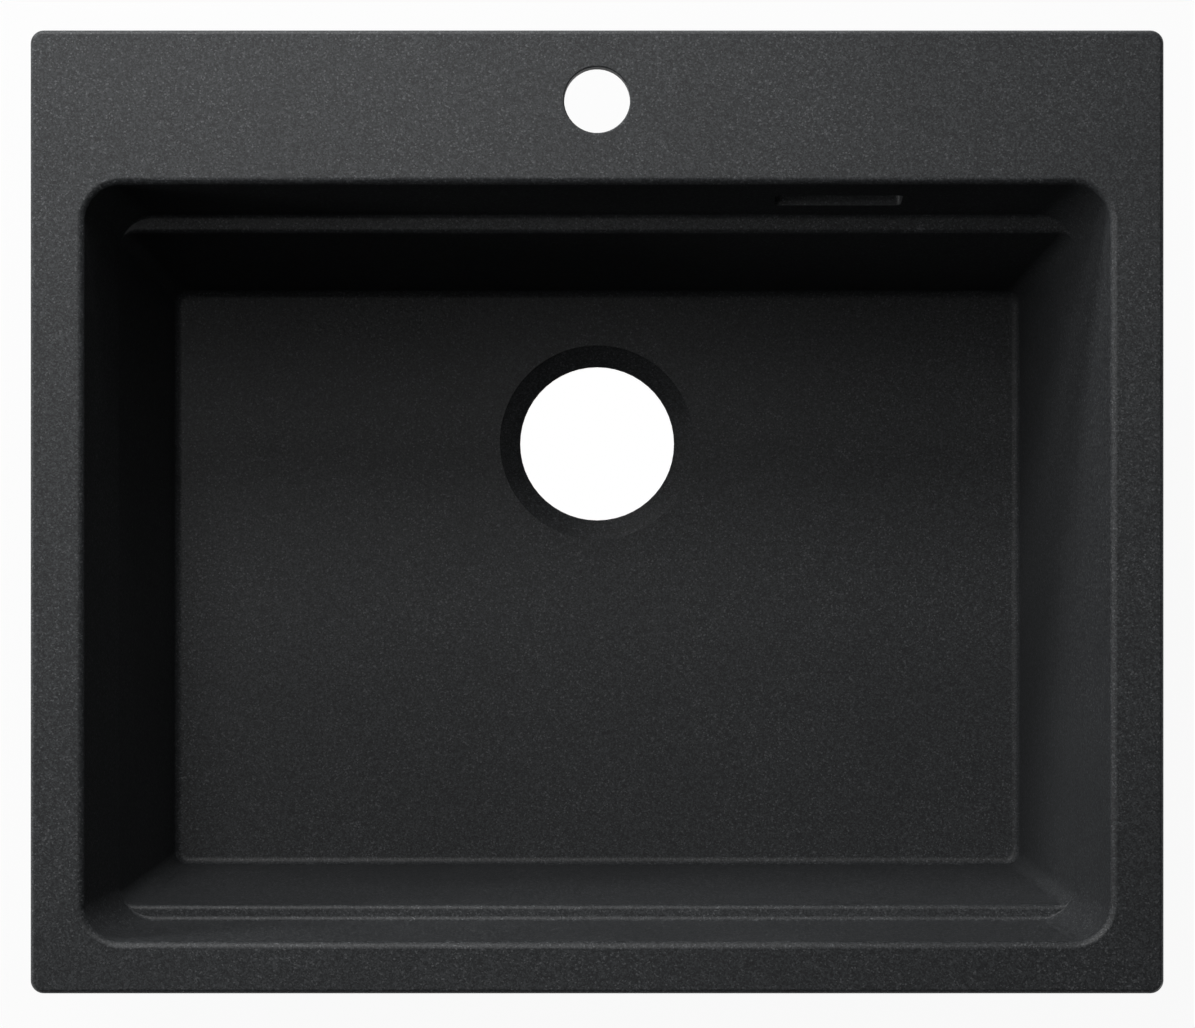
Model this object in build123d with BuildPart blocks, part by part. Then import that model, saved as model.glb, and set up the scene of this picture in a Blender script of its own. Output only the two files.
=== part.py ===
from build123d import *
import os
from math import cos, radians, sin, tan

# Inset composite kitchen sink: one cast piece with a ledge along its back and front walls,
# a strip of sealing foam under its rim, and eight hook clips that hold it in a worktop.
# Millimetres, +X to the right, +Y towards the tap, +Z up.
# The origin is the middle of the worktop's cut-out, on the worktop's upper face.

# Rim and the cut-out that it covers
RIM_LENGTH = 600
RIM_WIDTH = 510
RIM_CORNER = 7
RIM_HEIGHT = 10
RIM_TOP_ROUNDING = 2.5
RIM_BOTTOM_CHAMFER = 0.7
OVERLAP = 10
CUT_OUT_LENGTH = RIM_LENGTH - 2 * OVERLAP
CUT_OUT_WIDTH = RIM_WIDTH - 2 * OVERLAP

# Bowl, measured inside. Its walls lean by their draft, and the back and front walls step in by
# the width of a ledge on the way down
BOWL_DEPTH = 220
LEDGE_DEPTH = 71
FLOOR_Z = RIM_HEIGHT - BOWL_DEPTH
LEDGE_Z = RIM_HEIGHT - LEDGE_DEPTH
LEAN = tan(radians(7))
FRONT_LEAN = tan(radians(6))
END_LEAN_ABOVE_LEDGE = tan(radians(8.9))
END_LEAN_BELOW_LEDGE = tan(radians(6))
HALF_LENGTH = 272.1
BACK_Y = 173.6
FRONT_Y = -227.8
BACK_LEDGE = 9.7
FRONT_LEDGE = 8.2
CORNER_AT_RIM = 20
CORNER_ABOVE_LEDGE = 20
CORNER_BELOW_LEDGE = 8
CORNER_AT_FLOOR = 8
OPENING_ROUNDING = 4.1
LEDGE_ROUNDING = 2.4
FLOOR_ROUNDING = 4.4
ROUNDING_STEPS = 4

# Thickness of the bowl, and the roundings of its outside
WALL = 8
UNDERSIDE_ROUNDING = 9
RIM_ROOT_ROUNDING = 3.5

# Tap hole
TAP_HOLE_RADIUS = 17.5
TAP_HOLE_Y = 218
TAP_HOLE_CHAMFER = 0.6

# Waste hole: a small step, a conical seat for the strainer's flange, a bore and a collar below
WASTE_Y = 48.9
WASTE_RADIUS = 45
SEAT_RADIUS = 56.6
SEAT_STEP = 1
SEAT_DEPTH = 6.5
WASTE_BORE_LENGTH = 10
WASTE_BOTTOM_Z = FLOOR_Z - SEAT_DEPTH - WASTE_BORE_LENGTH
COLLAR_RADIUS = 62
COLLAR_ROOT_RADIUS = 68

# Overflow slot through the back wall, and the upright pad outside it
OVERFLOW_X = 129.7
OVERFLOW_LENGTH = 68.5
OVERFLOW_TOP_Z = -16
OVERFLOW_BOTTOM_Z = -38.5
OVERFLOW_CORNER = 3
PAD_BORDER = 9
PAD_CORNER = 8
PAD_Y = 184

# Sealing foam in its groove, just inside the edge of the rim
SEAL_WIDTH = 6
SEAL_THICKNESS = 2
SEAL_INSET = 2.5
SEAL_CLEARANCE = 0.1
SEAL_CORNER = 4.5
SEAL_INNER_CORNER = 1
SEAL_OUTER_LENGTH = RIM_LENGTH - 2 * SEAL_INSET
SEAL_OUTER_WIDTH = RIM_WIDTH - 2 * SEAL_INSET

# Fixing clips: a plug in a boss, a screw, a washer and a steel hook that clears the cut-out
HOOK_WIDTH = 12
HOOK_GAP = 0.4
CLIP_SIDE_X = (CUT_OUT_LENGTH - HOOK_WIDTH) / 2 - HOOK_GAP
CLIP_SIDE_Y = 135
CLIP_END_Y = (CUT_OUT_WIDTH - HOOK_WIDTH) / 2 - HOOK_GAP
CLIP_END_X = 190
BOSS_RADIUS = 6
BOSS_BOTTOM_Z = -26
BOSS_WEB_REACH = 11
BOSS_HOLE_RADIUS = 3.5
BOSS_HOLE_TOP_Z = -1
PLUG_CLEARANCE = 0.05
PLUG_FLANGE_RADIUS = 5.2
PLUG_FLANGE_THICKNESS = 1.5
PLUG_LENGTH = 24
PLUG_SLOT_WIDTH = 0.8
PLUG_SLOT_LENGTH = 17
SCREW_RADIUS = 2.25
SCREW_BORE_CLEARANCE = 0.1
SCREW_LENGTH = 36
SCREW_HEAD_RADIUS = 4.5
SCREW_HEAD_HEIGHT = 3
SCREW_DRIVE_LENGTH = 5
SCREW_DRIVE_WIDTH = 1.2
SCREW_DRIVE_DEPTH = 1.8
WASHER_RADIUS = 5.5
WASHER_THICKNESS = 1
HOOK_THICKNESS = 2
HOOK_HOLE_RADIUS = 2.6
HOOK_FLAT = 11
HOOK_ARM_END = 21
HOOK_ARM_RISE = 6
HOOK_REACH = 25
HOOK_RISE = 11
HOOK_BEND = 2.5
HOOK_TOOTH = 3
HOOK_NOTCH = 9
HOOK_UNDERSIDE_Z = -52

# Ribs that carry the tap deck from the bowl's back wall
RIB_THICKNESS = 7
TAP_RIB_X = 62
RIB_DEPTH_AT_RIM = 16
RIB_DEPTH_AT_WALL = 34
RIB_ROOT_Y = 171

# How near an edge's measure has to be for it to be picked
EDGE_MARGIN = 0.01


def lean_in(z, lean=LEAN):
    """How far a wall has leaned in at height z, from where it stands at the rim."""
    return lean * (RIM_HEIGHT - z)


def half_length(z):
    """Half the bowl's length at height z. Its end walls lean more above the ledges than below."""
    above = RIM_HEIGHT - max(z, LEDGE_Z)
    below = LEDGE_Z - min(z, LEDGE_Z)
    return HALF_LENGTH - END_LEAN_ABOVE_LEDGE * above - END_LEAN_BELOW_LEDGE * below


def across_bowl(z, front, back, corner, grown):
    """A rounded rectangle across the bowl at height z, which grown widens on every side."""
    with BuildSketch(Plane.XY.offset(z)) as section:
        with Locations((0, (front + back) / 2)):
            RectangleRounded(2 * (half_length(z) + grown), back - front + 2 * grown, corner + grown)
    return section.sketch


def above_ledges(z, grown, corner=CORNER_ABOVE_LEDGE, inset=0):
    """The bowl's outline above the ledges, with its front and back drawn in by inset."""
    front = FRONT_Y + lean_in(z, FRONT_LEAN) + inset
    back = BACK_Y - lean_in(z) - inset
    return across_bowl(z, front, back, corner - inset, grown)


def below_ledges(z, grown, corner=CORNER_BELOW_LEDGE, flare=0):
    """The bowl's outline below the ledges, with its front and back spread by flare."""
    front = FRONT_Y + lean_in(z, FRONT_LEAN) + FRONT_LEDGE - flare
    back = BACK_Y - lean_in(z) - BACK_LEDGE + flare
    return across_bowl(z, front, back, corner + flare, grown)


def quarter_round(radius):
    """Steps round a quarter circle that starts along a wall: how far along it and how far off it."""
    turns = [radians(90 * step / ROUNDING_STEPS) for step in range(ROUNDING_STEPS + 1)]
    return [(radius * sin(turn), radius * (1 - cos(turn))) for turn in turns]


def upper_loft(top, bottom_z, grown):
    """The bowl from the outlines in top down to its ledges, hollowly rounded where they start."""
    wall_foot = [
        above_ledges(bottom_z + LEDGE_ROUNDING - along, grown, inset=off)
        for along, off in quarter_round(LEDGE_ROUNDING)
    ]
    return loft(top + wall_foot, ruled=True)


def lower_loft(top_z, bottom_z, grown, rounding):
    """The bowl from its ledges, with their edge rounded over, down to its rounded foot."""
    ledge_edge = [
        below_ledges(top_z - LEDGE_ROUNDING + along, grown, flare=off)
        for along, off in reversed(quarter_round(LEDGE_ROUNDING))
    ]
    wall_foot = [
        below_ledges(bottom_z + rounding - along, grown - off, CORNER_AT_FLOOR)
        for along, off in quarter_round(rounding)
    ]
    return loft(ledge_edge + wall_foot, ruled=True)


# Where each clip's screw stands, and the direction from it out over the cut-out's edge, in degrees
clip_places = []
for side, outward in ((1, 0), (-1, 180)):
    for y in (-CLIP_SIDE_Y, CLIP_SIDE_Y):
        clip_places.append((side * CLIP_SIDE_X, y, outward))
for side, outward in ((1, 90), (-1, -90)):
    for x in (-CLIP_END_X, CLIP_END_X):
        clip_places.append((x, side * CLIP_END_Y, outward))

# The hollow of the bowl, as one solid to be taken out of the sink
with BuildPart() as bowl_hollow:
    upper_loft([above_ledges(RIM_HEIGHT, 0, CORNER_AT_RIM)], LEDGE_Z, 0)
    lower_loft(LEDGE_Z, FLOOR_Z, 0, FLOOR_ROUNDING)

with BuildPart() as sink_body:
    # Rim and tap deck, flat underneath where it lies on the worktop
    with BuildSketch(Plane.XY):
        RectangleRounded(RIM_LENGTH, RIM_WIDTH, RIM_CORNER)
    extrude(amount=RIM_HEIGHT)
    fillet(sink_body.edges().group_by(Axis.Z)[-1], RIM_TOP_ROUNDING)
    chamfer(sink_body.edges().group_by(Axis.Z)[0], RIM_BOTTOM_CHAMFER)

    # Outside of the bowl, hollowly rounded under the rim and stepped in under the ledges
    rim_root = [
        above_ledges(along - RIM_ROOT_ROUNDING, WALL + off, CORNER_AT_RIM)
        for along, off in reversed(quarter_round(RIM_ROOT_ROUNDING))
    ]
    upper_loft(rim_root, LEDGE_Z - WALL, WALL)
    lower_loft(LEDGE_Z - WALL, FLOOR_Z - WALL, WALL, UNDERSIDE_ROUNDING)

    # Ribs under the tap deck
    for x in (-CLIP_END_X, -TAP_RIB_X, TAP_RIB_X, CLIP_END_X):
        with BuildSketch(Plane.YZ.offset(x)):
            with BuildLine():
                Polyline(
                    (RIB_ROOT_Y, RIM_HEIGHT / 2),
                    (RIB_ROOT_Y, -RIB_DEPTH_AT_WALL),
                    (CLIP_END_Y, -RIB_DEPTH_AT_RIM),
                    (CLIP_END_Y, RIM_HEIGHT / 2),
                    close=True,
                )
            make_face()
        extrude(amount=RIB_THICKNESS / 2, both=True)

    # Bosses for the clips, each with a web back to the wall behind it
    for x, y, outward in clip_places:
        with BuildSketch(Plane.XY.offset(BOSS_BOTTOM_Z)):
            with Locations((x, y)):
                Circle(BOSS_RADIUS)
                Rectangle(
                    BOSS_WEB_REACH, 2 * BOSS_RADIUS, outward, (Align.MAX, Align.CENTER)
                )
        extrude(amount=RIM_HEIGHT / 2 - BOSS_BOTTOM_Z)

    # Pad round the overflow slot, upright so that the overflow's gland seats on it
    with BuildSketch(Plane.XZ.offset(-PAD_Y)):
        with Locations((OVERFLOW_X, (OVERFLOW_TOP_Z + OVERFLOW_BOTTOM_Z) / 2)):
            RectangleRounded(
                OVERFLOW_LENGTH + 2 * PAD_BORDER,
                OVERFLOW_TOP_Z - OVERFLOW_BOTTOM_Z + 2 * PAD_BORDER,
                PAD_CORNER,
            )
    extrude(amount=PAD_Y - BACK_Y + lean_in(LEDGE_Z))

    # Collar under the waste hole
    with BuildSketch(Plane.XY.offset(FLOOR_Z - WALL / 2)):
        with Locations((0, WASTE_Y)):
            Circle(COLLAR_ROOT_RADIUS)
    with BuildSketch(Plane.XY.offset(WASTE_BOTTOM_Z)):
        with Locations((0, WASTE_Y)):
            Circle(COLLAR_RADIUS)
    loft(ruled=True)

    # Inside of the bowl, with a generous rounding over its opening
    add(bowl_hollow.part, mode=Mode.SUBTRACT)
    deck = sink_body.faces().sort_by(Axis.Z)[-1]
    fillet(deck.inner_wires()[0].edges(), OPENING_ROUNDING)

    # Waste hole: step, conical seat and bore
    with BuildSketch(Plane.XZ.offset(-WASTE_Y)):
        with BuildLine():
            Polyline(
                (0, FLOOR_Z + SEAT_STEP),
                (SEAT_RADIUS, FLOOR_Z + SEAT_STEP),
                (SEAT_RADIUS, FLOOR_Z - SEAT_STEP),
                (WASTE_RADIUS, FLOOR_Z - SEAT_DEPTH),
                (WASTE_RADIUS, WASTE_BOTTOM_Z),
                (0, WASTE_BOTTOM_Z),
                close=True,
            )
        make_face()
    revolve(axis=Axis((0, WASTE_Y, 0), (0, 0, 1)), mode=Mode.SUBTRACT)

    # Tap hole, with its upper edge eased
    with BuildSketch(Plane.XY):
        with Locations((0, TAP_HOLE_Y)):
            Circle(TAP_HOLE_RADIUS)
    extrude(amount=RIM_HEIGHT, mode=Mode.SUBTRACT)
    tap_hole_edges = sink_body.edges().filter_by(GeomType.CIRCLE).filter_by(
        lambda edge: abs(edge.radius - TAP_HOLE_RADIUS) < EDGE_MARGIN
    )
    chamfer(tap_hole_edges.sort_by(Axis.Z)[-1], TAP_HOLE_CHAMFER)

    # Overflow slot
    with BuildSketch(Plane.XZ.offset(-PAD_Y)):
        with Locations((OVERFLOW_X, (OVERFLOW_TOP_Z + OVERFLOW_BOTTOM_Z) / 2)):
            RectangleRounded(
                OVERFLOW_LENGTH, OVERFLOW_TOP_Z - OVERFLOW_BOTTOM_Z, OVERFLOW_CORNER
            )
    extrude(amount=PAD_Y - BACK_Y + lean_in(LEDGE_Z), mode=Mode.SUBTRACT)

    # Groove for the sealing foam
    with BuildSketch(Plane.XY):
        RectangleRounded(SEAL_OUTER_LENGTH, SEAL_OUTER_WIDTH, SEAL_CORNER)
        RectangleRounded(
            SEAL_OUTER_LENGTH - 2 * SEAL_WIDTH,
            SEAL_OUTER_WIDTH - 2 * SEAL_WIDTH,
            SEAL_INNER_CORNER,
            mode=Mode.SUBTRACT,
        )
    extrude(amount=SEAL_THICKNESS, mode=Mode.SUBTRACT)

    # Holes for the plugs
    with BuildSketch(Plane.XY.offset(BOSS_BOTTOM_Z)):
        with Locations(*[(x, y) for x, y, outward in clip_places]):
            Circle(BOSS_HOLE_RADIUS)
    extrude(amount=BOSS_HOLE_TOP_Z - BOSS_BOTTOM_Z, mode=Mode.SUBTRACT)
sink_body.part.label = "sink_body"

with BuildPart() as rim_seal:
    with BuildSketch(Plane.XY):
        RectangleRounded(
            SEAL_OUTER_LENGTH - 2 * SEAL_CLEARANCE,
            SEAL_OUTER_WIDTH - 2 * SEAL_CLEARANCE,
            SEAL_CORNER - SEAL_CLEARANCE,
        )
        RectangleRounded(
            SEAL_OUTER_LENGTH - 2 * SEAL_WIDTH + 2 * SEAL_CLEARANCE,
            SEAL_OUTER_WIDTH - 2 * SEAL_WIDTH + 2 * SEAL_CLEARANCE,
            SEAL_INNER_CORNER + SEAL_CLEARANCE,
            mode=Mode.SUBTRACT,
        )
    extrude(amount=SEAL_THICKNESS)
rim_seal.part.label = "rim_seal"

# One plug, its flange against the end of a boss and its end split so that the screw spreads it
with BuildPart() as plug:
    with BuildSketch(Plane.XY.offset(-PLUG_FLANGE_THICKNESS)):
        Circle(PLUG_FLANGE_RADIUS)
    extrude(amount=PLUG_FLANGE_THICKNESS)
    with BuildSketch(Plane.XY):
        Circle(BOSS_HOLE_RADIUS - PLUG_CLEARANCE)
    extrude(amount=PLUG_LENGTH)
    with BuildSketch(Plane.XY.offset(-PLUG_FLANGE_THICKNESS)):
        Circle(SCREW_RADIUS + SCREW_BORE_CLEARANCE)
    extrude(amount=PLUG_FLANGE_THICKNESS + PLUG_LENGTH, mode=Mode.SUBTRACT)
    with BuildSketch(Plane.XY.offset(PLUG_LENGTH)):
        Rectangle(PLUG_SLOT_WIDTH, 2 * PLUG_FLANGE_RADIUS)
    extrude(amount=-PLUG_SLOT_LENGTH, mode=Mode.SUBTRACT)

with BuildPart() as clip_plugs:
    with Locations(*[(x, y, BOSS_BOTTOM_Z) for x, y, outward in clip_places]):
        add(plug.part)
clip_plugs.part.label = "clip_plugs"

# One screw, head down, with its length measured up from under its head
with BuildPart() as screw:
    with BuildSketch(Plane.XY):
        Circle(SCREW_HEAD_RADIUS)
    extrude(amount=-SCREW_HEAD_HEIGHT)
    with BuildSketch(Plane.XY):
        Circle(SCREW_RADIUS)
    extrude(amount=SCREW_LENGTH)
    with BuildSketch(Plane.XY.offset(-SCREW_HEAD_HEIGHT)):
        with PolarLocations(0, 2):
            Rectangle(SCREW_DRIVE_LENGTH, SCREW_DRIVE_WIDTH)
    extrude(amount=SCREW_DRIVE_DEPTH, mode=Mode.SUBTRACT)

# One washer, hanging below the plane that it bears on
with BuildPart() as washer:
    with BuildSketch(Plane.XY):
        Circle(WASHER_RADIUS)
        Circle(HOOK_HOLE_RADIUS, mode=Mode.SUBTRACT)
    extrude(amount=-WASHER_THICKNESS)

# One hook, bent up from steel strip: a flat with its heel round the screw, a rising arm and two teeth
with BuildPart() as hook:
    with BuildSketch(Plane.XZ):
        with BuildLine():
            FilletPolyline(
                (-HOOK_WIDTH / 2, HOOK_THICKNESS / 2),
                (HOOK_FLAT, HOOK_THICKNESS / 2),
                (HOOK_ARM_END, HOOK_ARM_RISE),
                (HOOK_REACH, HOOK_RISE),
                radius=HOOK_BEND,
            )
        trace(line_width=HOOK_THICKNESS)
    extrude(amount=HOOK_WIDTH / 2, both=True)
    with BuildSketch(Plane.XY):
        Circle(HOOK_WIDTH / 2)
        Rectangle(2 * HOOK_REACH, HOOK_WIDTH, align=(Align.MIN, Align.CENTER))
    extrude(amount=2 * HOOK_RISE, mode=Mode.INTERSECT)
    with BuildSketch(Plane.XY):
        Circle(HOOK_HOLE_RADIUS)
    extrude(amount=HOOK_THICKNESS, mode=Mode.SUBTRACT)
    with BuildSketch(Plane.YZ.offset(HOOK_ARM_END)):
        with BuildLine():
            Polyline(
                (-HOOK_NOTCH, 2 * HOOK_RISE),
                (0, HOOK_RISE - HOOK_TOOTH),
                (HOOK_NOTCH, 2 * HOOK_RISE),
                close=True,
            )
        make_face()
    extrude(amount=HOOK_REACH, mode=Mode.SUBTRACT)

os.makedirs("parts", exist_ok=True)
for piece in (sink_body, rim_seal, clip_plugs):
    export_step(piece.part, f"parts/{piece.part.label}.step")

# Each clip's pieces, with the hook parked along the cut-out's edge, a quarter turn short of outward
for number, (x, y, outward) in enumerate(clip_places, start=1):
    with BuildPart() as clip_hook:
        with Locations((x, y, HOOK_UNDERSIDE_Z)):
            add(hook.part, rotation=(0, 0, outward - 90))
    clip_hook.part.label = f"clip_hook_{number}"
    with BuildPart() as clip_washer:
        with Locations((x, y, HOOK_UNDERSIDE_Z)):
            add(washer.part)
    clip_washer.part.label = f"clip_washer_{number}"
    with BuildPart() as clip_screw:
        with Locations((x, y, HOOK_UNDERSIDE_Z - WASHER_THICKNESS)):
            add(screw.part, rotation=(0, 0, outward))
    clip_screw.part.label = f"clip_screw_{number}"
    for piece in (clip_hook, clip_washer, clip_screw):
        export_step(piece.part, f"parts/{piece.part.label}.step")
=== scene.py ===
import math

import bmesh
import bpy
import numpy as np
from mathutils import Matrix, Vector


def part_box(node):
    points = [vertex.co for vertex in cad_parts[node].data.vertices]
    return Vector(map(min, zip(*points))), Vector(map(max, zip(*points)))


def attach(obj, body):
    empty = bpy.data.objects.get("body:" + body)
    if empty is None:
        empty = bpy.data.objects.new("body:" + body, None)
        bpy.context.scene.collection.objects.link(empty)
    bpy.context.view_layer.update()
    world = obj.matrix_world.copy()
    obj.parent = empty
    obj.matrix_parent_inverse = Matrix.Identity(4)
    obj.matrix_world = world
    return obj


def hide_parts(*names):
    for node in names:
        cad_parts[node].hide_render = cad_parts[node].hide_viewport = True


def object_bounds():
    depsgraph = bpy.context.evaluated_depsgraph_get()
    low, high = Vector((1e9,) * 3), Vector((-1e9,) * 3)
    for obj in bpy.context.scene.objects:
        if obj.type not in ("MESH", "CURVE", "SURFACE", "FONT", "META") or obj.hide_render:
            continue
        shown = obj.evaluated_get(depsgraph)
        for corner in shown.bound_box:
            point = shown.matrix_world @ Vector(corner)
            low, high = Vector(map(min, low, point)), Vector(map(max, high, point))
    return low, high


# Looks of an inset composite sink: the cast bowl with its fine quartz grain, the foam strip under
# its rim, and the zinc-plated clips with their plugs. Metres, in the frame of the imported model.

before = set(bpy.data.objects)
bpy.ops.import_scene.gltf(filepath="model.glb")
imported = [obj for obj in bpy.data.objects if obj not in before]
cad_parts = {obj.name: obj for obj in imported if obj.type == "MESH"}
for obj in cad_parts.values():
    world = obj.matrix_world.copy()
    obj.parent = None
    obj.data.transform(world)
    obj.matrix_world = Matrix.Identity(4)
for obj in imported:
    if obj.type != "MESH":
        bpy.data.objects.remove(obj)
cad_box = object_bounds()

MM = 0.001

# The photograph: its size and the point in it that the camera looks straight down at, in pixels
PHOTO_WIDTH = 1195
PHOTO_HEIGHT = 1028
UNDER_CAMERA_X = 597.1
UNDER_CAMERA_Y = 675.4

# The camera, which stands over the bowl a little in front of its middle
SENSOR_WIDTH = 36
LENS = 125.26
CAMERA_ABOVE_RIM = 2200 * MM
CAMERA_Y = -86.59 * MM
RIM_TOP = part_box("sink_body")[1].z
NEAR_CLIP = 0.1
FAR_CLIP = 100

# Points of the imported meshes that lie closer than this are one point
WELD = 0.002 * MM
# Faces that meet at more than this stay a crisp edge, and the rest are shaded as one curve
CRISP = math.radians(35)
# Faces that meet at less than this are one flat face
FLAT = math.radians(0.3)

# Clip screws: pan heads with a driven cross, and a coarse thread with one ridge
CLIP_COUNT = 8
SCREW_SIDES = 64
SCREW_CREST = 2.25 * MM
SCREW_ROOT = 1.7 * MM
PITCH = 2 * MM
RIDGE_FOOT = 0.25
THREAD_ROWS = 200
THREAD_START = 0.4 * MM
THREAD_FADES_IN = (1 * MM, 4 * MM)
POINT_LENGTH = 4 * MM
PAST_POINT = 1 * MM
TIP_SHARE = 0.45
HEAD_RADIUS = 4.5 * MM
HEAD_HEIGHT = 3 * MM
HEAD_DOME = 0.3
HEAD_EDGE = 0.4 * MM
RIM_ROWS = 6
CROSS_LENGTH = 2.5 * MM
CROSS_HALF_WIDTH = 0.6 * MM
CROSS_EASE = 0.1 * MM
CROSS_DEPTH = 1.8 * MM
# Rings across the head's face, close together where the cross is
FACE_RINGS = np.concatenate((np.linspace(0.15, 2.9, 24), np.linspace(3.1, 4.1, 5))) * MM
# Rings under the head: their radius, and their height over the washer's face
UNDER_HEAD = np.array([
    (HEAD_RADIUS, -0.17 * MM),
    (HEAD_RADIUS - 0.1 * MM, -0.03 * MM),
    (SCREW_CREST + 0.3 * MM, -0.03 * MM),
    (SCREW_CREST - 0.1 * MM, 0.05 * MM),
])

# Pressed washers, and how far the bent hooks and the split plugs are eased at their edges
WASHER_SIDES = 64
WASHER_SECTION = 32
WASHER_HOLE = 2.6 * MM
WASHER_POWER = 6
HOOK_EASE = 0.3 * MM
PLUG_EASE = 0.2 * MM

# Foam strip in the rim's groove, its middle line's corner radius and how square its section is
SEAL_WIDTH = 5.8 * MM
SEAL_CORNER = 4 * MM
SEAL_CORNER_POINTS = 13
SEAL_SECTION = 40
SEAL_POWER = 8

# Studio: the floor just under the sink, and the parts of it under the waste's hole and its collar
FLOOR_HALF = 20
FLOOR_Z = cad_box[0].z - 0.2 * MM
FLOOR_GLOW = 0.94
WASTE_Y = 48.9 * MM
COLLAR_HOLE = 46 * MM
UNDER_WASTE = 60 * MM
BOWL_MIDDLE = Vector((0, -0.02, -0.05))


def linear(code):
    """A colour written as an sRGB hex code, turned to the linear values that shaders take."""
    parts = np.array([int(code[i:i + 2], 16) for i in (1, 3, 5)]) / 255
    return (*np.where(parts <= 0.04045, parts / 12.92, ((parts + 0.055) / 1.055) ** 2.4), 1)


def add_node(tree, kind, settings=(), links=(), numbered=(), **values):
    """Adds a node: settings are its own attributes, values its sockets by name with _ for a space,
    numbered are pairs of an input's number and its value, and links are pairs of an output socket
    and the name or number of the input that it feeds."""
    node = tree.nodes.new(kind)
    for key, value in dict(settings).items():
        setattr(node, key, value)
    for key, value in values.items():
        node.inputs[key.replace("_", " ")].default_value = value
    for number, value in numbered:
        node.inputs[number].default_value = value
    for source, name in links:
        tree.links.new(source, node.inputs[name])
    return node


def paint(ramp, stops):
    """Gives a colour ramp its stops, each a place from 0 to 1 with a hex code."""
    bands = ramp.color_ramp.elements
    while len(bands) < len(stops):
        bands.new(1.0)
    for band, (at, code) in zip(bands, stops):
        band.position = at
        band.color = linear(code)


def new_material(name):
    """An empty material, its nodes and the object coordinates that its patterns use."""
    material = bpy.data.materials.new(name)
    material.use_nodes = True
    tree = material.node_tree
    tree.nodes.clear()
    place = add_node(tree, "ShaderNodeTexCoord").outputs["Object"]
    return material, tree, place


def composite_material():
    """Quartz composite: quartz sand in a black acrylic resin, cast in a polished mould. The eye
    sees a matt, stony charcoal with fine grains, some paler and some darker, and a soft gloss on
    edges."""
    material, tree, place = new_material("cast_quartz_composite")
    # Sand of 0.3 mm would be finer than the picture shows, so the grains are drawn 0.75 mm wide
    grains = add_node(
        tree, "ShaderNodeTexVoronoi", {"feature": "F1"}, [(place, "Vector")],
        Scale=1 / (0.75 * MM), Randomness=1.0,
    )
    pick = add_node(tree, "ShaderNodeSeparateColor", {}, [(grains.outputs["Color"], "Color")])
    # Casting leaves clouds a hand wide, 70 mm, a little paler or darker than the rest
    clouds = add_node(
        tree, "ShaderNodeTexNoise", {}, [(place, "Vector")], Scale=1 / (70 * MM), Detail=2.0,
    )
    shift = add_node(
        tree, "ShaderNodeMapRange", {}, [(clouds.outputs["Fac"], "Value")],
        From_Min=0.3, From_Max=0.7, To_Min=-0.03, To_Max=0.03,
    )
    level = add_node(
        tree, "ShaderNodeMath", {"operation": "ADD"},
        [(pick.outputs["Red"], 0), (shift.outputs["Result"], 1)],
    )
    tone = add_node(tree, "ShaderNodeValToRGB", {}, [(level.outputs[0], "Fac")])
    paint(tone, ((0.0, "#222325"), (0.5, "#333537"), (0.93, "#454749"), (1.0, "#5e6062")))
    # Grains lie in the resin at different slants, so each has its own gloss
    sheen = add_node(
        tree, "ShaderNodeMapRange", {}, [(pick.outputs["Green"], "Value")],
        To_Min=0.5, To_Max=0.62,
    )
    relief = add_node(
        tree, "ShaderNodeBump", {}, [(grains.outputs["Distance"], "Height")],
        Strength=0.25, Distance=0.06 * MM,
    )
    shader = add_node(
        tree, "ShaderNodeBsdfPrincipled", {},
        [
            (tone.outputs["Color"], "Base Color"),
            (sheen.outputs["Result"], "Roughness"),
            (relief.outputs["Normal"], "Normal"),
        ],
        IOR=1.5,
    )
    add_node(tree, "ShaderNodeOutputMaterial", {}, [(shader.outputs["BSDF"], "Surface")])
    return material


def foam_material():
    """Closed-cell polyethylene foam, cut from sheet: dull black, with its cells cut open and
    painted shade darkening the hollow middle of each open cell.
    """
    material, tree, place = new_material("closed_cell_foam")
    # Cells 0.8 mm wide, as in the foam of such strips
    cells = add_node(
        tree, "ShaderNodeTexVoronoi", {"feature": "F1"}, [(place, "Vector")],
        Scale=1 / (0.8 * MM), Randomness=1.0,
    )
    # Painted shade: the colour darkens towards each cell's middle, where the cut-open cell is
    # hollow and the bump sinks it
    tone = add_node(tree, "ShaderNodeValToRGB", {}, [(cells.outputs["Distance"], "Fac")])
    paint(tone, ((0.0, "#19191a"), (0.45, "#232324"), (0.8, "#333334")))
    relief = add_node(
        tree, "ShaderNodeBump", {}, [(cells.outputs["Distance"], "Height")],
        Strength=0.8, Distance=0.3 * MM,
    )
    shader = add_node(
        tree, "ShaderNodeBsdfPrincipled", {},
        [(tone.outputs["Color"], "Base Color"), (relief.outputs["Normal"], "Normal")],
        Roughness=0.9, IOR=1.5,
    )
    add_node(tree, "ShaderNodeOutputMaterial", {}, [(shader.outputs["BSDF"], "Surface")])
    return material


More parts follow.
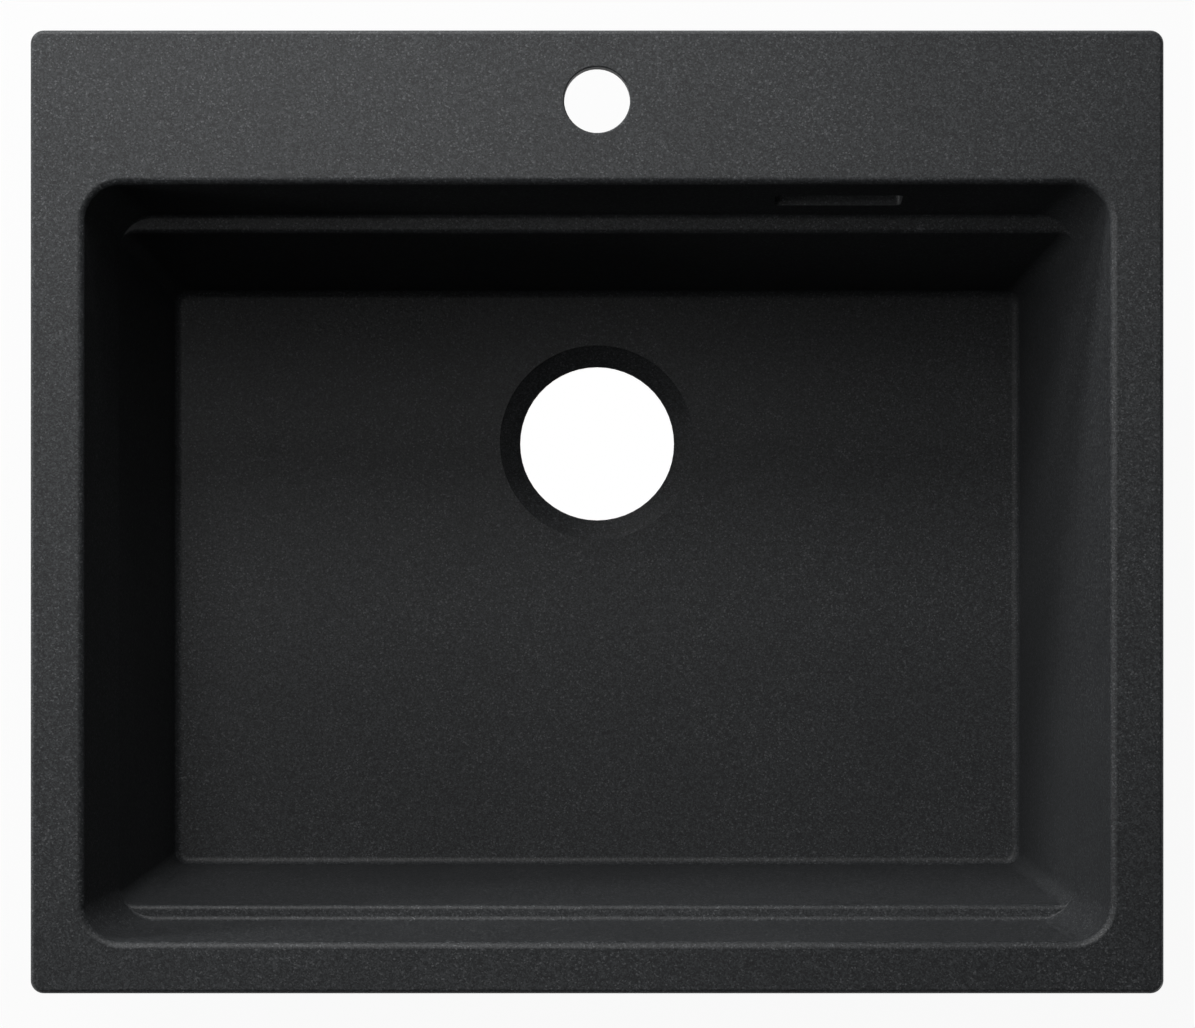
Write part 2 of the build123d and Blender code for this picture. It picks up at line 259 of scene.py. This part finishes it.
def zinc_material():
    """Steel with bright zinc plating, barrel-plated: a pale, faintly blue metal whose sheen is
    clouded where parts have rubbed on each other, with fine scratches from rolling the strip."""
    material, tree, place = new_material("zinc_plated_steel")
    # Clouds of plating 5 mm wide
    clouds = add_node(
        tree, "ShaderNodeTexNoise", {}, [(place, "Vector")], Scale=1 / (5 * MM), Detail=4.0,
    )
    tone = add_node(tree, "ShaderNodeValToRGB", {}, [(clouds.outputs["Fac"], "Fac")])
    paint(tone, ((0.3, "#a9adb3"), (0.5, "#bfc2c6"), (0.7, "#d0d2d3")))
    dull = add_node(
        tree, "ShaderNodeMapRange", {}, [(clouds.outputs["Fac"], "Value")],
        From_Min=0.3, From_Max=0.7, To_Min=0.28, To_Max=0.45,
    )
    # Rolling scratches are finer than 0.1 mm, and are drawn 0.35 mm apart so that they show. They
    # are drawn out twelve times as long as wide
    along = add_node(
        tree, "ShaderNodeMapping", {}, [(place, "Vector")], Scale=(1.0, 1.0, 0.08),
    )
    scratches = add_node(
        tree, "ShaderNodeTexNoise", {}, [(along.outputs["Vector"], "Vector")],
        Scale=1 / (0.35 * MM), Detail=3.0,
    )
    relief = add_node(
        tree, "ShaderNodeBump", {}, [(scratches.outputs["Fac"], "Height")],
        Strength=0.3, Distance=0.02 * MM,
    )
    shader = add_node(
        tree, "ShaderNodeBsdfPrincipled", {},
        [
            (tone.outputs["Color"], "Base Color"),
            (dull.outputs["Result"], "Roughness"),
            (relief.outputs["Normal"], "Normal"),
        ],
        Metallic=1.0,
    )
    add_node(tree, "ShaderNodeOutputMaterial", {}, [(shader.outputs["BSDF"], "Surface")])
    return material


def nylon_material():
    """Nylon, injection moulded and undyed: a milky ivory, slightly mottled, with the fine tooth of
    a spark-eroded mould."""
    material, tree, place = new_material("moulded_nylon")
    # The melt's flow leaves a mottle 4 mm wide
    mottle = add_node(
        tree, "ShaderNodeTexNoise", {}, [(place, "Vector")], Scale=1 / (4 * MM), Detail=2.0,
    )
    tone = add_node(tree, "ShaderNodeValToRGB", {}, [(mottle.outputs["Fac"], "Fac")])
    paint(tone, ((0.3, "#d3d1c8"), (0.7, "#e2e0d9")))
    # The mould's tooth is a few hundredths of a millimetre, and is drawn 0.2 mm wide to show
    tooth = add_node(
        tree, "ShaderNodeTexNoise", {}, [(place, "Vector")], Scale=1 / (0.2 * MM), Detail=1.0,
    )
    relief = add_node(
        tree, "ShaderNodeBump", {}, [(tooth.outputs["Fac"], "Height")],
        Strength=0.3, Distance=0.02 * MM,
    )
    shader = add_node(
        tree, "ShaderNodeBsdfPrincipled", {},
        [(tone.outputs["Color"], "Base Color"), (relief.outputs["Normal"], "Normal")],
        Roughness=0.45, IOR=1.53,
    )
    add_node(tree, "ShaderNodeOutputMaterial", {}, [(shader.outputs["BSDF"], "Surface")])
    return material


def floor_material():
    """Pale matt studio floor. The camera, reflections and clear things see it nearly white, and it
    keeps the object's shadow. Under the waste hole it gives no light back into the bowl, because
    the sink is shown with nothing below it. Under the collar's face it gives that face plain light,
    and from underneath it is clear and hides nothing."""
    material, tree, place = new_material("pale_floor")
    rays = add_node(tree, "ShaderNodeLightPath")
    mirrored = add_node(
        tree, "ShaderNodeMath", {"operation": "MAXIMUM"},
        [(rays.outputs["Is Glossy Ray"], 0), (rays.outputs["Is Transmission Ray"], 1)],
    )
    seen = add_node(
        tree, "ShaderNodeMath", {"operation": "MAXIMUM"},
        [(rays.outputs["Is Camera Ray"], 0), (mirrored.outputs[0], 1)],
    )
    share = add_node(
        tree, "ShaderNodeMath", {"operation": "MULTIPLY"}, [(seen.outputs[0], 0)],
        [(1, FLOOR_GLOW)],
    )
    matt = add_node(tree, "ShaderNodeBsdfDiffuse", Color=linear("#e6e6e6"))
    glow = add_node(tree, "ShaderNodeEmission", Strength=1.0)
    around = add_node(
        tree, "ShaderNodeMixShader", {},
        [(share.outputs[0], 0), (matt.outputs[0], 1), (glow.outputs[0], 2)],
    )
    # Distance from the middle of the waste hole tells the floor's parts apart
    away = add_node(
        tree, "ShaderNodeVectorMath", {"operation": "DISTANCE"}, [(place, 0)],
        [(1, (0, WASTE_Y, FLOOR_Z))],
    )
    beyond = add_node(
        tree, "ShaderNodeMath", {"operation": "GREATER_THAN"}, [(away.outputs["Value"], 0)],
        [(1, UNDER_WASTE)],
    )
    under_collar = add_node(
        tree, "ShaderNodeMath", {"operation": "GREATER_THAN"}, [(away.outputs["Value"], 0)],
        [(1, COLLAR_HOLE)],
    )
    lit = add_node(
        tree, "ShaderNodeMath", {"operation": "MAXIMUM"},
        [(rays.outputs["Is Camera Ray"], 0), (under_collar.outputs[0], 1)],
    )
    under_waste = add_node(tree, "ShaderNodeEmission", {}, [(lit.outputs[0], "Strength")])
    above = add_node(
        tree, "ShaderNodeMixShader", {},
        [(beyond.outputs[0], 0), (under_waste.outputs[0], 1), (around.outputs[0], 2)],
    )
    side = add_node(tree, "ShaderNodeNewGeometry")
    clear = add_node(tree, "ShaderNodeBsdfTransparent")
    one_sided = add_node(
        tree, "ShaderNodeMixShader", {},
        [(side.outputs["Backfacing"], 0), (above.outputs[0], 1), (clear.outputs[0], 2)],
    )
    add_node(tree, "ShaderNodeOutputMaterial", {}, [(one_sided.outputs[0], "Surface")])
    return material


def add_object(name, data):
    """Adds an object with that mesh, lamp or camera to the scene, at the origin."""
    thing = bpy.data.objects.new(name, data)
    bpy.context.scene.collection.objects.link(thing)
    return thing


def smooth_copy(node, name):
    """A copy of a node's mesh with its loose triangles joined, its flat faces made whole and its
    roundings shaded as one curve."""
    mesh = bpy.data.meshes.new(name)
    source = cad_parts[node].data
    points = np.empty(3 * len(source.vertices))
    source.vertices.foreach_get("co", points)
    corners = np.empty(len(source.loops), int)
    source.loops.foreach_get("vertex_index", corners)
    mesh.from_pydata(points.reshape(-1, 3), [], corners.reshape(-1, 3))
    shape = bmesh.new()
    shape.from_mesh(mesh)
    bmesh.ops.remove_doubles(shape, verts=shape.verts, dist=WELD)
    bmesh.ops.dissolve_limit(
        shape, angle_limit=FLAT, verts=shape.verts, edges=shape.edges,
        use_dissolve_boundaries=False,
    )
    shape.to_mesh(mesh)
    shape.free()
    mesh.shade_smooth()
    mesh.set_sharp_from_angle(angle=CRISP)
    return add_object(name, mesh)


def even_shading(piece):
    """Shades flat faces flat and lets the narrow faces of roundings carry the curve."""
    normals = piece.modifiers.new("even_shading", "WEIGHTED_NORMAL")
    normals.keep_sharp = True
    normals.weight = 100


def ease(piece, width):
    """Eases the sharp edges of a small part, as tumbling and plating or moulding leave them."""
    edges = piece.modifiers.new("eased_edges", "BEVEL")
    edges.width = width
    edges.segments = 2
    edges.limit_method = "ANGLE"
    edges.angle_limit = CRISP
    edges.harden_normals = True


def skin(name, points, joined):
    """A closed mesh from rows of points, each row a closed ring. The last ring meets the first
    where joined is true, and otherwise each end is closed with a fan to its ring's middle."""
    rows, around = points.shape[:2]
    index = np.arange(rows * around).reshape(rows, around)
    below = index if joined else index[:-1]
    above = np.roll(index, -1, axis=0) if joined else index[1:]
    quads = np.stack((below, np.roll(below, -1, 1), np.roll(above, -1, 1), above), -1)
    faces = quads.reshape(-1, 4).tolist()
    places = points.reshape(-1, 3)
    if not joined:
        first, last = index[0], index[-1]
        places = np.vstack((places, points[0].mean(0), points[-1].mean(0)))
        start, end = np.full(around, rows * around), np.full(around, rows * around + 1)
        faces += np.stack((np.roll(first, -1), first, start), -1).tolist()
        faces += np.stack((last, np.roll(last, -1), end), -1).tolist()
    mesh = bpy.data.meshes.new(name)
    mesh.from_pydata(places, [], faces)
    mesh.shade_smooth()
    mesh.set_sharp_from_angle(angle=CRISP)
    return add_object(name, mesh)


def smooth_step(value, low, high):
    """0 below low, 1 above high and an even S between them: 3t^2 - 2t^3 of the share t."""
    share = np.clip((value - low) / (high - low), 0, 1)
    return share * share * (3 - 2 * share)


def square_ring(count, power):
    """Across and up of points on the rounded square |x|^n + |z|^n = 1, from x = sign(cos)
    |cos|^(2/n) and z = sign(sin) |sin|^(2/n) of an angle in even steps."""
    turn = np.linspace(0, 2 * np.pi, count, endpoint=False)
    return [
        np.sign(part) * abs(part) ** (2 / power) for part in (np.cos(turn), np.sin(turn))
    ]


def screw_points(middle, under_head, tip):
    """Rings round an upright screw from the middle of its head's face up to its tip. The face is a
    shallow dome, z = -height (1 - dome (r / R)^2), with a cross driven into it: each wing is as
    deep as 1 - (distance along / length)^4 says and ends at its half width. The shank's radius
    falls from crest to root by a triangle wave of z / pitch - turn, so the ridge climbs one pitch a
    turn, and both fade to a blunt cone at the tip."""
    turn = np.linspace(0, 2 * np.pi, SCREW_SIDES, endpoint=False)[None, :]
    face_r = FACE_RINGS[:, None]
    x, y = face_r * np.cos(turn), face_r * np.sin(turn)
    wings = [
        (1 - np.clip(abs(far) / CROSS_LENGTH, 0, 1) ** 4)
        * (1 - smooth_step(abs(off), CROSS_HALF_WIDTH - CROSS_EASE, CROSS_HALF_WIDTH + CROSS_EASE))
        for far, off in ((x, y), (y, x))
    ]
    driven = CROSS_DEPTH * np.maximum(*wings)
    face_z = -HEAD_HEIGHT * (1 - HEAD_DOME * (face_r / HEAD_RADIUS) ** 2) + driven
    # Rim of the head, from its dome round to its flat underside
    bend = np.linspace(0, np.pi / 2, RIM_ROWS)[:, None]
    rim_low = HEAD_HEIGHT * (1 - HEAD_DOME) - HEAD_EDGE
    rim_r = HEAD_RADIUS - HEAD_EDGE + HEAD_EDGE * np.sin(bend)
    rim_z = -rim_low - HEAD_EDGE * np.cos(bend)
    under_r, under_z = UNDER_HEAD[:, :1], UNDER_HEAD[:, 1:]
    # Threaded shank
    length = tip - under_head
    along = np.linspace(THREAD_START, length, THREAD_ROWS)[:, None]
    wave = abs(((along / PITCH - turn / (2 * np.pi)) % 1) * 2 - 1)
    ridge = smooth_step(wave, RIDGE_FOOT, 1)
    started = smooth_step(along, *THREAD_FADES_IN)
    point = 1 - smooth_step(along, length - POINT_LENGTH, length + PAST_POINT)
    thread_r = SCREW_CREST - (SCREW_CREST - SCREW_ROOT) * (1 - ridge) * started
    shank_r = thread_r * (TIP_SHARE + (1 - TIP_SHARE) * point)
    flat = np.ones_like(turn)
    radii = np.vstack((face_r * flat, rim_r * flat, under_r * flat, shank_r))
    heights = np.vstack((face_z, rim_z * flat, under_z * flat, along * flat))
    turns = np.ones((len(radii), 1)) * turn
    return np.stack(
        (
            middle.x + radii * np.cos(turns),
            middle.y + radii * np.sin(turns),
            under_head + heights,
        ), -1,
    )


def washer_points(middle, low, high, inner, outer):
    """Rings round a pressed washer: a rounded square section, |x|^n + |z|^n = 1 of power 6, carried
    round the screw."""
    turn = np.linspace(0, 2 * np.pi, WASHER_SIDES, endpoint=False)[None, :]
    across, up = (part[:, None] for part in square_ring(WASHER_SECTION, WASHER_POWER))
    radii = (outer + inner) / 2 + across * (outer - inner) / 2
    heights = (high + low) / 2 + up * (high - low) / 2 + 0 * turn
    return np.stack(
        (middle.x + radii * np.cos(turn), middle.y + radii * np.sin(turn), heights), -1
    )


def seal_points(low, high, width):
    """Rings of a foam strip: a rounded square section, |x|^n + |z|^n = 1 of power 8, carried round
    the rim's groove along a rectangle whose corners are quarter circles."""
    centre = (low + high) / 2
    half = (high - low) / 2
    reach = np.array([half.x - width / 2 - SEAL_CORNER, half.y - width / 2 - SEAL_CORNER])
    quarter = np.linspace(0, np.pi / 2, SEAL_CORNER_POINTS)
    turn = np.concatenate([quarter + step * np.pi / 2 for step in range(4)])
    corners = np.array([(1, 1), (-1, 1), (-1, -1), (1, -1)])
    outward = np.stack((np.cos(turn), np.sin(turn)), -1)
    path = np.repeat(corners, SEAL_CORNER_POINTS, axis=0) * reach + SEAL_CORNER * outward
    across, up = square_ring(SEAL_SECTION, SEAL_POWER)
    flat = path[:, None, :] + across[None, :, None] * width / 2 * outward[:, None, :]
    # The section runs downwards on its outer side, so that its faces point outwards
    heights = np.broadcast_to(-up[None, :, None] * half.z, (*flat.shape[:2], 1)) + centre.z
    return np.concatenate((flat + np.array([centre.x, centre.y]), heights), -1)


def finish_piece(piece, material, body, node):
    """Gives a new piece its material and the body that it rides on, and hides the node that it
    stands for."""
    piece.data.materials.clear()
    piece.data.materials.append(material)
    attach(piece, body)
    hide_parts(node)


def softbox(name, place, size, power):
    """A square lamp at that place, which faces the middle of the bowl."""
    lamp = bpy.data.lights.new(name, "AREA")
    lamp.shape = "SQUARE"
    lamp.size = size
    lamp.energy = power
    stand = add_object(name, lamp)
    stand.location = place
    stand.visible_camera = False
    stand.rotation_mode = "QUATERNION"
    stand.rotation_quaternion = (Vector(place) - BOWL_MIDDLE).to_track_quat("Z", "Y")


# Pieces
composite = composite_material()
foam = foam_material()
zinc = zinc_material()
nylon = nylon_material()

cast_sink = smooth_copy("sink_body", "cast_sink")
even_shading(cast_sink)
finish_piece(cast_sink, composite, "sink", "sink_body")

seal = skin("foam_seal", seal_points(*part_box("rim_seal"), SEAL_WIDTH), True)
finish_piece(seal, foam, "sink", "rim_seal")

for number in range(1, CLIP_COUNT + 1):
    low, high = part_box(f"clip_screw_{number}")
    middle = (low + high) / 2
    shape = screw_points(middle, low.z + HEAD_HEIGHT, high.z)
    screw = skin(f"thread_screw_{number}", shape, False)
    finish_piece(screw, zinc, f"screw_{number}", f"clip_screw_{number}")

    low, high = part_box(f"clip_washer_{number}")
    shape = washer_points(middle, low.z, high.z, WASHER_HOLE, (high.x - low.x) / 2)
    washer = skin(f"pressed_washer_{number}", shape, True)
    finish_piece(washer, zinc, f"washer_{number}", f"clip_washer_{number}")

    hook = smooth_copy(f"clip_hook_{number}", f"bent_hook_{number}")
    ease(hook, HOOK_EASE)
    finish_piece(hook, zinc, f"hook_{number}", f"clip_hook_{number}")

plugs = smooth_copy("clip_plugs", "split_plugs")
ease(plugs, PLUG_EASE)
finish_piece(plugs, nylon, "sink", "clip_plugs")

# Floor
floor_mesh = bpy.data.meshes.new("studio_floor")
floor_mesh.from_pydata(
    [(x * FLOOR_HALF, y * FLOOR_HALF, FLOOR_Z) for x, y in ((-1, -1), (1, -1), (1, 1), (-1, 1))],
    [], [(0, 1, 2, 3)],
)
floor_mesh.materials.append(floor_material())
add_object("studio_floor", floor_mesh)

# World: white where the camera sees it, and no light on the sink
world = bpy.data.worlds.new("studio")
bpy.context.scene.world = world
world.use_nodes = True
sky = world.node_tree
sky.nodes.clear()
rays = add_node(sky, "ShaderNodeLightPath")
dim = add_node(sky, "ShaderNodeBackground", Color=(1, 1, 1, 1), Strength=0.0)
white = add_node(sky, "ShaderNodeBackground", Color=(1, 1, 1, 1), Strength=1.0)
either = add_node(
    sky, "ShaderNodeMixShader", {},
    [(rays.outputs["Is Camera Ray"], 0), (dim.outputs[0], 1), (white.outputs[0], 2)],
)
add_node(sky, "ShaderNodeOutputWorld", {}, [(either.outputs[0], "Surface")])

# Lamps over the back and left, as in the photograph
softbox("key_back_left", (-0.45, 1.2, 1.3), 0.4, 9.8)
softbox("key_back_high", (-0.35, 0.8, 1.6), 0.4, 2.9)
softbox("key_over_deck", (-0.12, 0.24, 0.9), 0.3, 0.8)
softbox("edge_far_left", (-1.2, 1.2, 0.45), 0.3, 6.7)
softbox("edge_behind", (-0.3, 1.2, 0.5), 0.3, 4.7)
softbox("fill_high_left", (-2.0, 0.5, 1.5), 0.8, 5.0)
softbox("fill_low_left", (-2.0, 0.0, 0.6), 0.5, 6.3)
# Lamps below the rim's height, which reach only the outside of the bowl and the clips
softbox("under_rim_right", (1.2, -0.9, -0.12), 0.16, 4.0)
softbox("under_rim_left", (-1.2, -0.9, -0.12), 0.16, 3.0)
softbox("under_rim_behind", (0.3, 1.5, -0.12), 0.16, 3.0)

# Camera
camera_data = bpy.data.cameras.new("camera")
camera_data.sensor_fit = "HORIZONTAL"
camera_data.sensor_width = SENSOR_WIDTH
camera_data.lens = LENS
camera_data.shift_x = (PHOTO_WIDTH / 2 - UNDER_CAMERA_X) / PHOTO_WIDTH
camera_data.shift_y = (UNDER_CAMERA_Y - PHOTO_HEIGHT / 2) / PHOTO_WIDTH
camera_data.clip_start = NEAR_CLIP
camera_data.clip_end = FAR_CLIP
camera = add_object("camera", camera_data)
camera.location = (0, CAMERA_Y, RIM_TOP + CAMERA_ABOVE_RIM)
bpy.context.scene.camera = camera
bpy.context.scene.view_settings.view_transform = "Standard"
